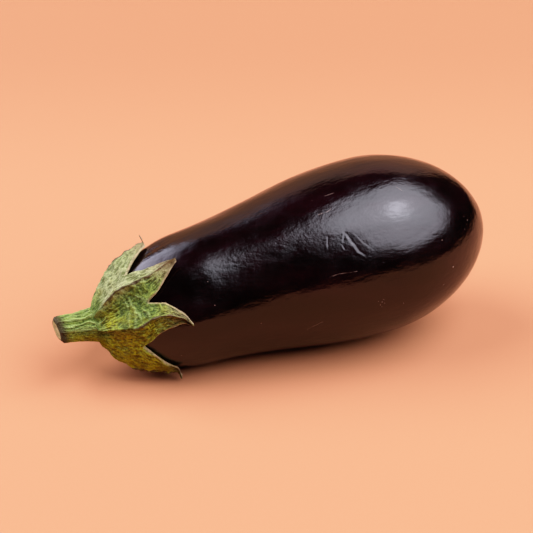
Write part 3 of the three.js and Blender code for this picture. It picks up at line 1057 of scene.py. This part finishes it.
# Paper whose colour changes along a direction, over a range of distances; on the floor it is painted darker
# further back, as painted shade
def paper_material(name, tint, further_tint, direction, change):
    material, tree, shader, place = new_material(name)
    fibres = pattern(tree, place, *PAPER_FIBRES)
    along = vector_step(tree, "DOT_PRODUCT", place, direction)
    colour = blend(tree, fade(tree, along, *change), tint, further_tint)
    put(tree, shader.inputs["Base Color"], blend(tree, fibres, colour, PAPER_FIBRE))
    shader.inputs["Roughness"].default_value = PAPER_ROUGHNESS
    shader.inputs["Specular IOR Level"].default_value = PAPER_SPECULAR
    return material


# Away from the camera and to its right, over the floor
HEADING = Vector((-math.sin(VIEW_AZIMUTH), math.cos(VIEW_AZIMUTH), 0))
RIGHTWARD = Vector((math.cos(VIEW_AZIMUTH), math.sin(VIEW_AZIMUTH), 0))


def stage_point(right, forward, up=0.0):
    return RIGHTWARD * right + HEADING * forward + Vector((0, 0, up))


def stage_rectangle(half_width, front, back):
    return [(-half_width, front), (half_width, front), (half_width, back), (-half_width, back)]


def build_stage():
    # The floor paper is painted darker away from the camera: painted shade
    paper = paper_material("paper", PAPER, PAPER_BACK_PAINTED_SHADE, HEADING, PAPER_SHADE_DRIFT)
    sheet = stage_rectangle(PAPER_HALF_WIDTH, -PAPER_FRONT, BACKDROP_AT)
    near = mesh_object("paper_near", [stage_point(*p) for p in sheet], [(0, 1, 2, 3)])
    around = stage_rectangle(FAR_PAPER, -FAR_PAPER, FAR_PAPER)
    ring = [(0, 1, 5, 4), (1, 2, 6, 5), (2, 3, 7, 6), (3, 0, 4, 7)]
    far = mesh_object("paper_far", [stage_point(*p) for p in around + sheet], ring)
    far.visible_glossy = False
    foot = [(BACKDROP_LEFT, BACKDROP_AT, 0), (BACKDROP_RIGHT, BACKDROP_AT, 0)]
    wall = foot + [(x, y, BACKDROP_TOP) for x, y, _ in reversed(foot)]
    backdrop = mesh_object("backdrop", [stage_point(*p) for p in wall], [(0, 1, 2, 3)])
    near.data.materials.append(paper)
    far.data.materials.append(paper)
    backdrop.visible_shadow = False
    wall_paper = paper_material("wall_paper", WALL_PAPER, WALL_UPPER, (0, 0, 1), BACKDROP_FADE)
    backdrop.data.materials.append(wall_paper)


# A soft light that shows either as a reflection in glossy surfaces or as the light that falls on matt ones
def add_softbox(name, tint, mirrored, azimuth, elevation, spread, power):
    distance = CLOTH_DISTANCE if mirrored else LAMP_DISTANCE
    data = bpy.data.lights.new(name, "AREA")
    data.shape = "SQUARE" if mirrored else "DISK"
    data.size = 2 * spread * distance
    data.energy = power
    data.color = tint
    lamp = add_object(name, data)
    turn, rise = math.radians(azimuth), math.radians(elevation)
    away = stage_point(math.sin(turn) * math.cos(rise), -math.cos(turn) * math.cos(rise), math.sin(rise))
    lamp.location = LIGHT_AIM + away * distance
    lamp.rotation_euler = away.to_track_quat("Z", "Y").to_euler()
    lamp.visible_camera = False
    lamp.visible_glossy = mirrored
    lamp.visible_diffuse = not mirrored
    return data


# Places on a light's cloth, and the strength of its glow
def cloth_nodes(light):
    light.use_nodes = True
    tree = light.node_tree
    place = add_step(tree, "NewGeometry", {}).outputs["Parametric"]
    return tree, place, tree.nodes["Emission"].inputs["Strength"]


# A cloth with a slanted edge that fades toward its top
def shape_fill(light):
    tree, place, strength = cloth_nodes(light)
    slanted = fade(tree, vector_step(tree, "DOT_PRODUCT", place, FILL_SLANT), *FILL_SLANT_EDGE)
    height = vector_step(tree, "DOT_PRODUCT", place, (0, 1, 0))
    width = vector_step(tree, "DOT_PRODUCT", place, (1, 0, 0))
    topped = fade(tree, height, *FILL_TOP_EDGE, 1, 0)
    sided = times(tree, slanted, fade(tree, width, *FILL_FAR_EDGE, 1, 0))
    put(tree, strength, times(tree, topped, sided))


# A nearly square cloth with a rounded end, brightest at its core
def shape_key(light):
    tree, place, strength = cloth_nodes(light)
    offset = vector_step(tree, "SUBTRACT", place, KEY_MIDDLE)
    across = vector_step(tree, "DOT_PRODUCT", offset, KEY_ACROSS)
    upward = vector_step(tree, "DOT_PRODUCT", offset, KEY_UPWARD)
    sides = [calculate(tree, "POWER", reach, KEY_SQUARENESS) for reach in (across, upward)]
    square = fade(tree, plus(tree, *sides), *KEY_EDGE, 1, 0)
    rounded = fade(tree, vector_step(tree, "DISTANCE", place, KEY_ROUND_AT), *KEY_ROUND_EDGE, 1, 0)
    gap = vector_step(tree, "DISTANCE", place, KEY_CORE_AT)
    cloth_glow = fade(tree, gap, 0, KEY_CLOTH_RADIUS, KEY_CLOTH_GAIN, KEY_RIM_GAIN)
    core_glow = fade(tree, gap, 0, KEY_CORE_RADIUS, KEY_CORE_GAIN, 0)
    glow = plus(tree, cloth_glow, core_glow)
    put(tree, strength, times(tree, glow, times(tree, square, rounded)))


# The lights, a dim room that glossy surfaces mirror, and the paper's tone for sight lines that miss it
def build_lights():
    shape_key(add_softbox("key_cloth", LIGHT_TINT, True, **KEY))
    add_softbox("key_lamp", LIGHT_TINT, False, **KEY_LAMP)
    shape_fill(add_softbox("fill_cloth", FILL_TINT, True, **FILL))
    add_softbox("fill_lamp", LIGHT_TINT, False, **FILL_LAMP)
    world = bpy.data.worlds.new("room")
    bpy.context.scene.world = world
    world.use_nodes = True
    tree = world.node_tree
    dim = tree.nodes["Background"]
    dim.inputs["Color"].default_value = ROOM
    dim.inputs["Strength"].default_value = ROOM_STRENGTH
    seen = add_step(tree, "Background", {"Color": PAPER_SEEN}).outputs["Background"]
    in_view = add_step(tree, "LightPath", {}).outputs["Is Camera Ray"]
    either = add_step(tree, "MixShader", {"Fac": in_view, 1: dim.outputs["Background"], 2: seen})
    put(tree, tree.nodes["World Output"].inputs["Surface"], either.outputs["Shader"])


def build_camera():
    data = bpy.data.cameras.new("camera")
    data.lens = LENS
    data.sensor_width = SENSOR
    camera = add_object("camera", data)
    flat = math.cos(VIEW_ELEVATION)
    back = Vector((math.sin(VIEW_AZIMUTH) * flat, -math.cos(VIEW_AZIMUTH) * flat, math.sin(VIEW_ELEVATION)))
    camera.location = VIEW_TARGET + back * VIEW_DISTANCE
    camera.rotation_euler = back.to_track_quat("Z", "Y").to_euler()
    bpy.context.scene.camera = camera


# The contrast curve, drawn for all three colours at once
def set_tones():
    view = bpy.context.scene.view_settings
    view.view_transform = "Standard"
    view.use_curve_mapping = True
    mapping = view.curve_mapping
    mapping.clip_max_x = TONES[-1][0]
    curve = mapping.curves[3]
    curve.points[0].location = TONES[0]
    curve.points[1].location = TONES[-1]
    for tone in TONES[1:-1]:
        curve.points.new(*tone)
    mapping.update()


set_tones()
build_camera()
build_stage()
build_lights()

fruit = build_fruit()
fruit.data.materials.append(skin_material())
calyx = build_calyx()
calyx.data.materials.append(leaf_material())
for piece, node, slot in ((fruit, "fruit", "fruit_skin"), (calyx, "calyx", "calyx_green")):
    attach(piece, "root")
    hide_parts(node)
